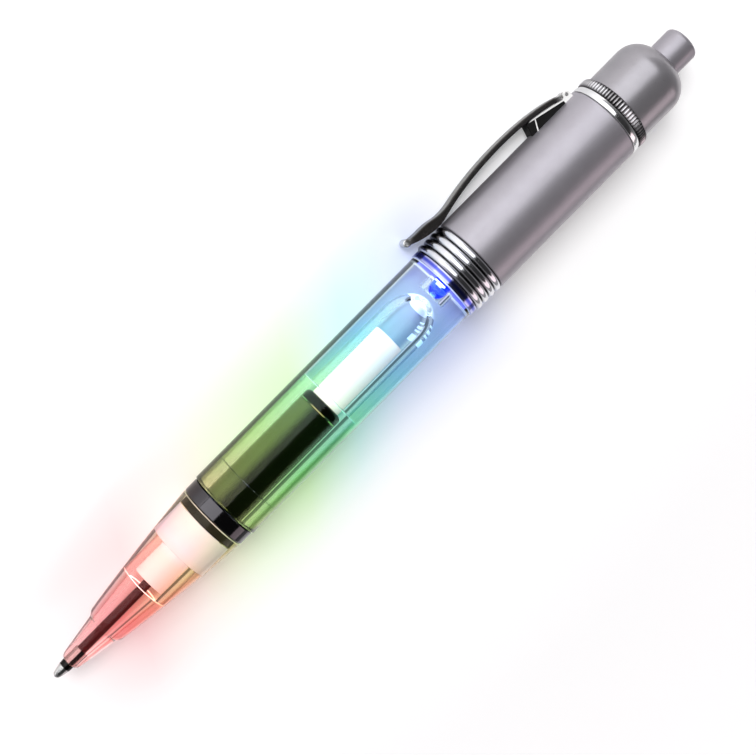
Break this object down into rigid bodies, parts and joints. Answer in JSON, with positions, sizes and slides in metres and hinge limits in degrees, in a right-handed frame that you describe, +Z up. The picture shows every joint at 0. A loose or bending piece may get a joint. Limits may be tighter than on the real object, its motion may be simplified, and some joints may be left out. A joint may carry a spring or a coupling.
{
  "type": "light-up pen",
  "caption": "Ball pen with a clear tapered nose and thick clear barrel lit by an inner lamp, a satin metal upper barrel with a spring clip, a ribbed collar and a push-button switch.",
  "frame": {"origin": "On the table under the middle of the pen as it lies on its collar, its rings and its clip", "axes": "+X runs along the pen from the writing point to the push button, +Y is the side that the clip lies on, +Z is up"},
  "size_m": [0.1402, 0.0162, 0.0136],
  "materials": {
    "clear_plastic": "clear polished plastic, lit from inside",
    "cartridge_plastic": "clear thin plastic over dark ink",
    "lamp_plastic": "clear resin",
    "ink": "dark liquid",
    "stem_plastic": "dark brown-red tube",
    "white_plastic": "white moulded plastic",
    "black_plastic": "black moulded plastic",
    "black_rubber": "black rubber",
    "satin_metal": "satin silver with a mauve cast",
    "bright_chrome": "polished plate",
    "dark_chrome": "dark polished plate",
    "steel": "bare nickel-plated steel",
    "brass": "bare brass",
    "lamp_chip": "reflector cup with a blue chip"
  },
  "bodies": {
    "barrel": {"clear_barrel": "clear_plastic", "rib_collar": "bright_chrome", "upper_barrel": "satin_metal", "lamp_lens": "lamp_plastic", "lamp_emitter": "lamp_chip", "lamp_lead_long": "steel", "lamp_lead_bent": "steel", "lamp_holder": "white_plastic", "front_contact": "brass", "battery_sleeve": "black_plastic", "button_cell_1": "steel", "button_cell_2": "steel", "button_cell_3": "steel", "clip_bracket": "dark_chrome", "clip_pin": "dark_chrome"},
    "joint_ring": {"joint_ring": "dark_chrome"},
    "nose": {"nose_cone": "clear_plastic", "point_cone": "bright_chrome", "stem_tube": "stem_plastic", "front_holder": "white_plastic", "seal_ring": "black_rubber", "cartridge_tube": "cartridge_plastic", "ink_column": "ink", "cartridge_plug": "white_plastic"},
    "ball": {"writing_ball": "bright_chrome"},
    "polished_ring": {"polished_ring": "bright_chrome"},
    "cap": {"end_cap": "satin_metal", "knurled_ring": "bright_chrome", "switch_housing": "black_plastic", "switch_contact": "brass", "contact_spring": "brass", "return_spring": "steel"},
    "button": {"push_button": "satin_metal", "switch_plunger": "white_plastic"},
    "clip": {"clip_arm": "dark_chrome"}
  },
  "joints": [
    {"name": "nose_turn", "type": "hinge", "parent": "barrel", "child": "joint_ring", "pos_m": [-0.03214, -0.00127, 0.0068], "axis": [-1, 0, 0], "range_deg": [0, 1440]},
    {"name": "nose_out", "type": "slide", "parent": "joint_ring", "child": "nose", "axis": [-1, 0, 0], "range_m": [0, 0.004]},
    {"name": "ball_roll", "type": "hinge", "parent": "nose", "child": "ball", "pos_m": [-0.06964, -0.00127, 0.0068], "axis": [0, 1, 0], "continuous": true},
    {"name": "cap_turn", "type": "hinge", "parent": "barrel", "child": "polished_ring", "pos_m": [0.05214, -0.00127, 0.0068], "axis": [1, 0, 0], "range_deg": [0, 1440]},
    {"name": "cap_out", "type": "slide", "parent": "polished_ring", "child": "cap", "axis": [1, 0, 0], "range_m": [0, 0.004]},
    {"name": "button_press", "type": "slide", "parent": "cap", "child": "button", "axis": [-1, 0, 0], "range_m": [0, 0.0015], "stiffness_N_per_m": 150, "deforming": ["return_spring"]},
    {"name": "clip_flex", "type": "hinge", "parent": "barrel", "child": "clip", "pos_m": [0.05064, 0.00503, 0.00293], "axis": [0, -0.5232, -0.8522], "range_deg": [0, 6], "stiffness_Nm_per_rad": 0.05}
  ],
  "couplings": [
    {"joint": "nose_turn", "follows": "nose_out", "rad_per_m": 6283.2},
    {"joint": "cap_turn", "follows": "cap_out", "rad_per_m": 6283.2}
  ]
}
